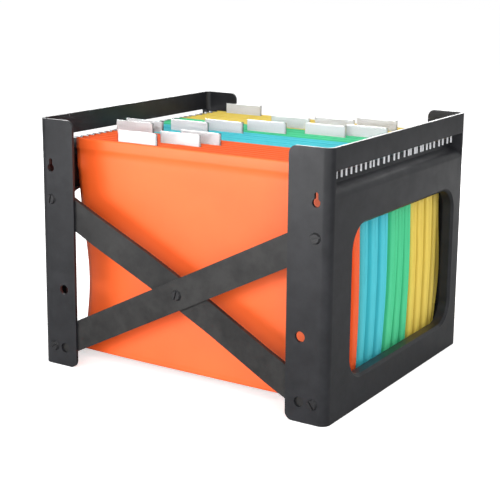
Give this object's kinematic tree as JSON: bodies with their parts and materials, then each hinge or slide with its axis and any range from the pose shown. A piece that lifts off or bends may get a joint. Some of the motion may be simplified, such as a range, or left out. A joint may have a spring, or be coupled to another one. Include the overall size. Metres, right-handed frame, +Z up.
{
  "type": "file folder organizer",
  "caption": "Desktop frame with two windowed side panels tied by crossed braces, holding coloured hanging file folders with index tabs on side rails.",
  "frame": {"origin": "on the floor below the middle of the frame", "axes": "+X to the right side panel, +Y to the back, +Z up"},
  "size_m": [0.345, 0.3148, 0.264],
  "materials": {
    "panel_plastic": "satin moulded",
    "fastener": "satin",
    "rod_steel": "plated",
    "clear_tab": "clear over a white label",
    "orange_card": "smooth coated card",
    "cyan_card": "smooth coated card",
    "green_card": "smooth coated card",
    "yellow_card": "smooth coated card"
  },
  "bodies": {
    "frame": {"right_side_panel": "panel_plastic", "left_side_panel": "panel_plastic", "front_rising_brace": "panel_plastic", "front_falling_brace": "panel_plastic", "rear_rising_brace": "panel_plastic", "rear_falling_brace": "panel_plastic", "front_end_screws": "fastener", "front_end_nuts": "fastener", "front_centre_screw": "fastener", "front_centre_nut": "fastener", "rear_end_screws": "fastener", "rear_end_nuts": "fastener", "rear_centre_screw": "fastener", "rear_centre_nut": "fastener"},
    "orange_folder_1": {"orange_folder_1_pocket": "orange_card", "orange_folder_1_rods": "rod_steel", "orange_folder_1_tab": "clear_tab"},
    "orange_folder_2": {"orange_folder_2_pocket": "orange_card", "orange_folder_2_rods": "rod_steel", "orange_folder_2_tab": "clear_tab"},
    "orange_folder_3": {"orange_folder_3_pocket": "orange_card", "orange_folder_3_rods": "rod_steel", "orange_folder_3_tab": "clear_tab"},
    "orange_folder_4": {"orange_folder_4_pocket": "orange_card", "orange_folder_4_rods": "rod_steel", "orange_folder_4_tab": "clear_tab"},
    "cyan_folder_1": {"cyan_folder_1_pocket": "cyan_card", "cyan_folder_1_rods": "rod_steel", "cyan_folder_1_tab": "clear_tab"},
    "cyan_folder_2": {"cyan_folder_2_pocket": "cyan_card", "cyan_folder_2_rods": "rod_steel", "cyan_folder_2_tab": "clear_tab"},
    "cyan_folder_3": {"cyan_folder_3_pocket": "cyan_card", "cyan_folder_3_rods": "rod_steel", "cyan_folder_3_tab": "clear_tab"},
    "green_folder_1": {"green_folder_1_pocket": "green_card", "green_folder_1_rods": "rod_steel", "green_folder_1_tab": "clear_tab"},
    "green_folder_2": {"green_folder_2_pocket": "green_card", "green_folder_2_rods": "rod_steel", "green_folder_2_tab": "clear_tab"},
    "green_folder_3": {"green_folder_3_pocket": "green_card", "green_folder_3_rods": "rod_steel", "green_folder_3_tab": "clear_tab"},
    "yellow_folder_1": {"yellow_folder_1_pocket": "yellow_card", "yellow_folder_1_rods": "rod_steel", "yellow_folder_1_tab": "clear_tab"},
    "yellow_folder_2": {"yellow_folder_2_pocket": "yellow_card", "yellow_folder_2_rods": "rod_steel", "yellow_folder_2_tab": "clear_tab"},
    "yellow_folder_3": {"yellow_folder_3_pocket": "yellow_card", "yellow_folder_3_rods": "rod_steel", "yellow_folder_3_tab": "clear_tab"},
    "yellow_folder_4": {"yellow_folder_4_pocket": "yellow_card", "yellow_folder_4_rods": "rod_steel", "yellow_folder_4_tab": "clear_tab"}
  },
  "joints": [
    {"name": "orange_folder_1_slide", "type": "slide", "parent": "frame", "child": "orange_folder_1", "axis": [0, 1, 0], "range_m": [-0.02155, 0.0067]},
    {"name": "orange_folder_2_slide", "type": "slide", "parent": "frame", "child": "orange_folder_2", "axis": [0, 1, 0], "range_m": [-0.0067, 0.00721]},
    {"name": "orange_folder_3_slide", "type": "slide", "parent": "frame", "child": "orange_folder_3", "axis": [0, 1, 0], "range_m": [-0.00721, 0.00721]},
    {"name": "orange_folder_4_slide", "type": "slide", "parent": "frame", "child": "orange_folder_4", "axis": [0, 1, 0], "range_m": [-0.00721, 0.0044]},
    {"name": "cyan_folder_1_slide", "type": "slide", "parent": "frame", "child": "cyan_folder_1", "axis": [0, 1, 0], "range_m": [-0.0044, 0.01003]},
    {"name": "cyan_folder_2_slide", "type": "slide", "parent": "frame", "child": "cyan_folder_2", "axis": [0, 1, 0], "range_m": [-0.01003, 0.01028]},
    {"name": "cyan_folder_3_slide", "type": "slide", "parent": "frame", "child": "cyan_folder_3", "axis": [0, 1, 0], "range_m": [-0.01028, 0.0113]},
    {"name": "green_folder_1_slide", "type": "slide", "parent": "frame", "child": "green_folder_1", "axis": [0, 1, 0], "range_m": [-0.0113, 0.00235]},
    {"name": "green_folder_2_slide", "type": "slide", "parent": "frame", "child": "green_folder_2", "axis": [0, 1, 0], "range_m": [-0.00235, 0.00209]},
    {"name": "green_folder_3_slide", "type": "slide", "parent": "frame", "child": "green_folder_3", "axis": [0, 1, 0], "range_m": [-0.00209, 0.00235]},
    {"name": "yellow_folder_1_slide", "type": "slide", "parent": "frame", "child": "yellow_folder_1", "axis": [0, 1, 0], "range_m": [-0.00235, 0.00619]},
    {"name": "yellow_folder_2_slide", "type": "slide", "parent": "frame", "child": "yellow_folder_2", "axis": [0, 1, 0], "range_m": [-0.00619, 0.01028]},
    {"name": "yellow_folder_3_slide", "type": "slide", "parent": "frame", "child": "yellow_folder_3", "axis": [0, 1, 0], "range_m": [-0.01028, 0.00977]},
    {"name": "yellow_folder_4_slide", "type": "slide", "parent": "frame", "child": "yellow_folder_4", "axis": [0, 1, 0], "range_m": [-0.00977, 0.001]}
  ]
}
